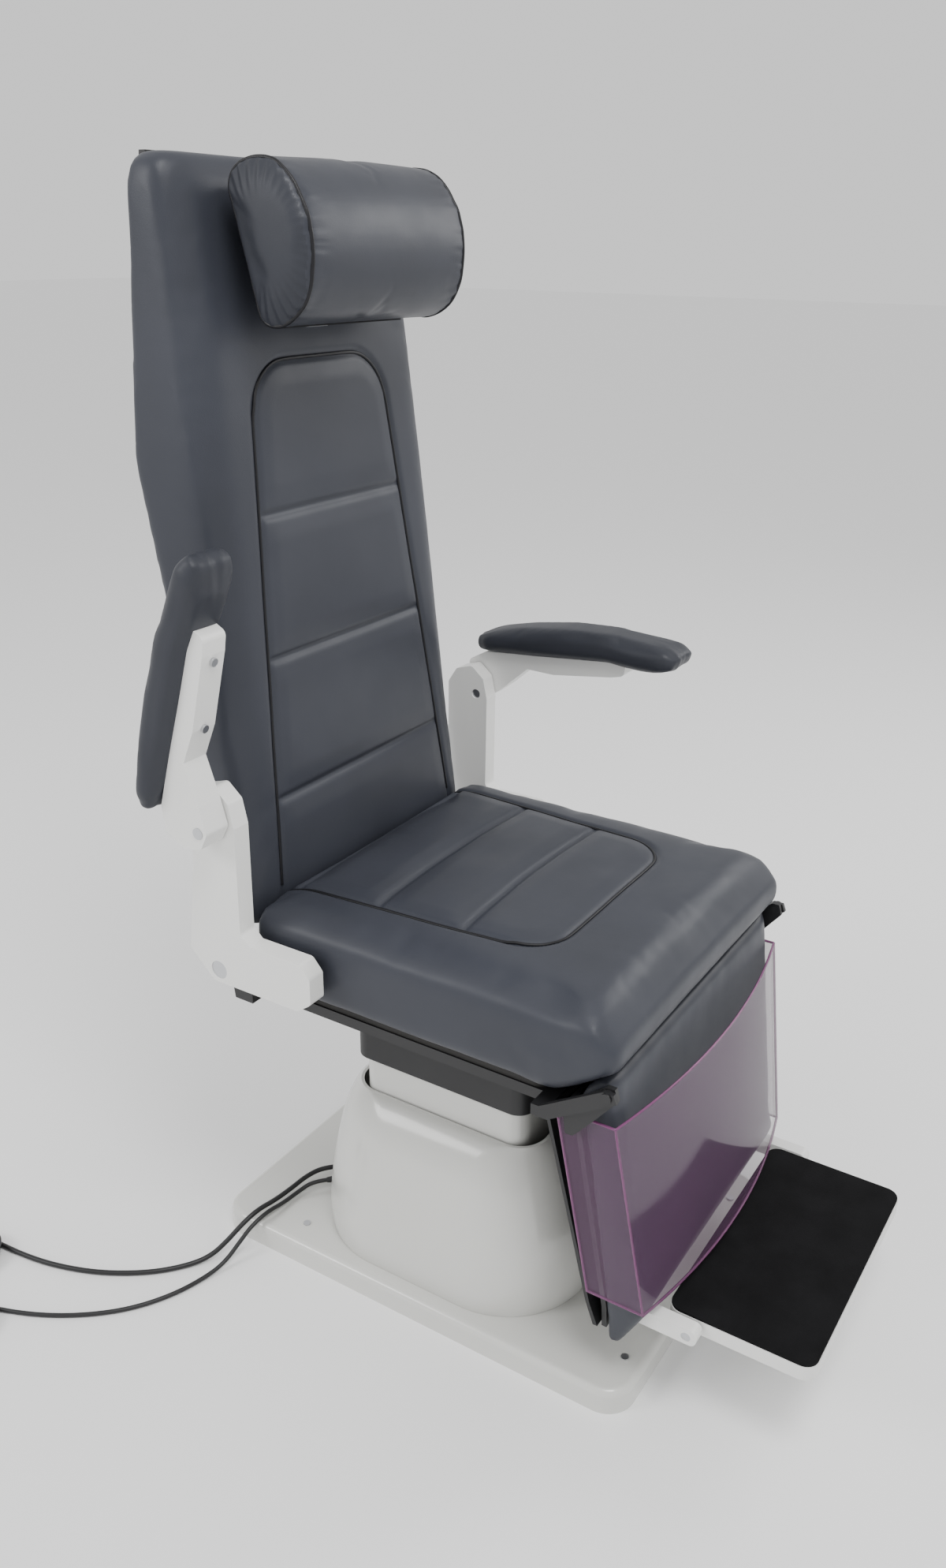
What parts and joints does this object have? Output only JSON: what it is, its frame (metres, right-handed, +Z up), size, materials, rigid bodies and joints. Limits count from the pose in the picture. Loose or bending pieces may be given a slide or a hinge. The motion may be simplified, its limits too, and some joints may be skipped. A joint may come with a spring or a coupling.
{
  "type": "motorised examination chair",
  "caption": "Motorised examination chair with swivel lift base, reclining back, coupled legrest, fold-up footrest and armrests, and adjustable headrest pillow.",
  "frame": {"origin": "on the floor, on the swivel axis", "axes": "+Z up, -Y the way the sitter faces, +X to the sitter's left"},
  "size_m": [0.967, 1.163, 1.385],
  "materials": {
    "steel": "satin",
    "motor": "satin",
    "cover_plastic": "semi-gloss off-white",
    "white_metal": "white powder coat",
    "black_metal": "black powder coat",
    "black_plastic": "matte",
    "upholstery": "dark blue-grey leatherette",
    "board": "plywood",
    "guard": "clear lilac acrylic",
    "mat": "matte black",
    "cord_black": "satin black"
  },
  "bodies": {
    "base": {"ground_plate": "steel", "base_skirt": "cover_plastic", "skirt_screws": "steel", "base_cover": "cover_plastic", "outer_column": "steel", "lift_gearbox": "steel", "lift_motor": "motor", "lift_spindle": "steel", "mains_relief": "cord_black", "control_relief": "cord_black", "mains_cord": "cord_black", "control_cord": "cord_black", "mains_coil": "cord_black", "control_coil": "cord_black", "mains_plug": "cord_black", "control_connector": "cord_black"},
    "lift": {"inner_column": "steel", "lift_nut_tube": "steel", "lift_head": "steel", "upper_cover": "cover_plastic", "swivel_post": "steel", "bearing_lower_ring": "steel"},
    "seat": {"turntable": "steel", "chassis_skirt": "black_plastic", "seat_frame": "black_metal", "seat_board": "board", "seat_pad": "upholstery", "back_hinge_shaft": "steel", "legrest_hinge_pins": "steel", "recline_motor": "motor", "right_arm_bracket": "white_metal", "left_arm_bracket": "white_metal", "right_arm_pin": "steel", "left_arm_pin": "steel"},
    "backrest": {"back_pad": "upholstery", "back_frame": "black_metal", "back_shell": "black_plastic", "headrest_rail": "steel"},
    "headrest_slider": {"headrest_carriage": "black_metal", "headrest_tilt_pin": "steel"},
    "headrest": {"headrest_board": "black_plastic", "headrest_pillow": "upholstery"},
    "legrest": {"calf_pad": "upholstery", "legrest_frame": "black_metal", "legrest_panel": "black_plastic", "calf_guard": "guard", "footrest_arm_right": "white_metal", "footrest_arm_left": "white_metal", "footrest_pins": "steel"},
    "link": {"link_rod": "steel"},
    "footrest": {"footrest_tray": "white_metal", "footrest_mat": "mat"},
    "right_armrest": {"right_upper_arm": "white_metal", "right_arm_pad": "upholstery", "right_arm_screws": "steel"},
    "left_armrest": {"left_upper_arm": "white_metal", "left_arm_pad": "upholstery", "left_arm_screws": "steel"}
  },
  "joints": [
    {"name": "lift_slide", "type": "slide", "parent": "base", "child": "lift", "axis": [0, 0, 1], "range_m": [0, 0.2]},
    {"name": "seat_swivel", "type": "hinge", "parent": "lift", "child": "seat", "pos_m": [0, 0, 0.32], "axis": [0, 0, 1], "range_deg": [-170, 170]},
    {"name": "back_recline", "type": "hinge", "parent": "seat", "child": "backrest", "pos_m": [0, 0.225, 0.47], "axis": [1, 0, 0], "range_deg": [-75, 0]},
    {"name": "legrest_lift", "type": "hinge", "parent": "seat", "child": "legrest", "pos_m": [0, -0.285, 0.466], "axis": [1, 0, 0], "range_deg": [-75, 0]},
    {"name": "link_swing", "type": "hinge", "parent": "backrest", "child": "link", "pos_m": [0, 0.2957, 0.3993], "axis": [1, 0, 0], "range_deg": [0, 75]},
    {"name": "footrest_fold", "type": "hinge", "parent": "legrest", "child": "footrest", "pos_m": [0, -0.375, 0.134], "axis": [1, 0, 0], "range_deg": [-80, 0]},
    {"name": "headrest_slide", "type": "slide", "parent": "backrest", "child": "headrest_slider", "axis": [0, 0.1099, 0.9939], "range_m": [0, 0.09]},
    {"name": "headrest_tilt", "type": "hinge", "parent": "headrest_slider", "child": "headrest", "pos_m": [0, 0.259, 1.222], "axis": [1, 0, 0], "range_deg": [0, 25]},
    {"name": "right_arm_fold", "type": "hinge", "parent": "seat", "child": "right_armrest", "pos_m": [-0.3, 0.206, 0.672], "axis": [1, 0, 0], "range_deg": [0, 68]},
    {"name": "left_arm_fold", "type": "hinge", "parent": "seat", "child": "left_armrest", "pos_m": [0.3, 0.206, 0.672], "axis": [1, 0, 0], "range_deg": [-68, 0]}
  ],
  "couplings": [
    {"joint": "legrest_lift", "follows": "back_recline", "ratio": 1},
    {"joint": "link_swing", "follows": "back_recline", "ratio": -1}
  ]
}
